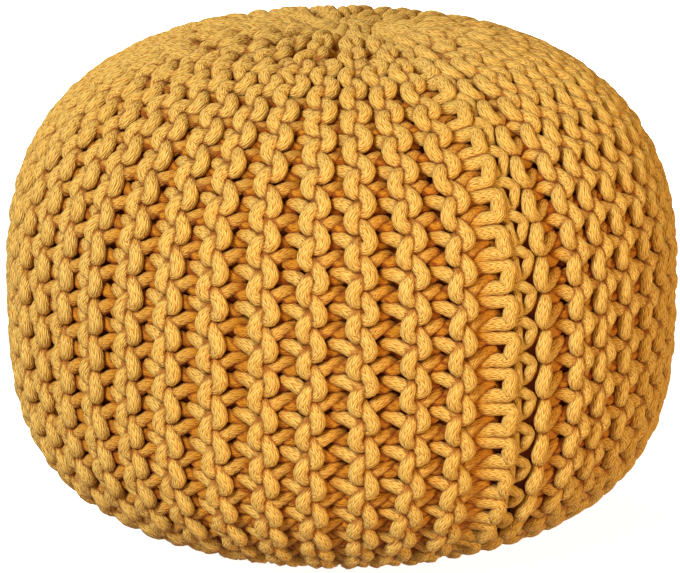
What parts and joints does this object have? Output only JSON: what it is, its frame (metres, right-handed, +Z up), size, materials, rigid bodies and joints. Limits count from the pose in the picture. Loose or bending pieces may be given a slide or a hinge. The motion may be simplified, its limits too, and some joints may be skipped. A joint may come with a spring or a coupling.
{
  "type": "knitted pouf",
  "caption": "Round floor pouf in a chunky garter-stitch knitted cover with upright ridges, laced down one side and drawn together at the top and base.",
  "frame": {"origin": "middle of the flat underside, on the surface that the pouf stands on", "axes": "+Z up through the drawn-up middle of the top; -Y towards the viewer; the laced seam is on the -Y side, turned about 30 degrees towards +X"},
  "size_m": [0.4994, 0.4996, 0.3799],
  "materials": {
    "knit_cord": "matte braided cotton cord, mustard",
    "lacing_cord": "matte braided cotton cord, mustard",
    "drawn_cord": "matte braided cotton cord, mustard"
  },
  "bodies": {
    "root": {"knitted_cover": "knit_cord", "seam_cord": "lacing_cord", "top_gather": "drawn_cord", "bottom_gather": "drawn_cord"}
  },
  "joints": []
}
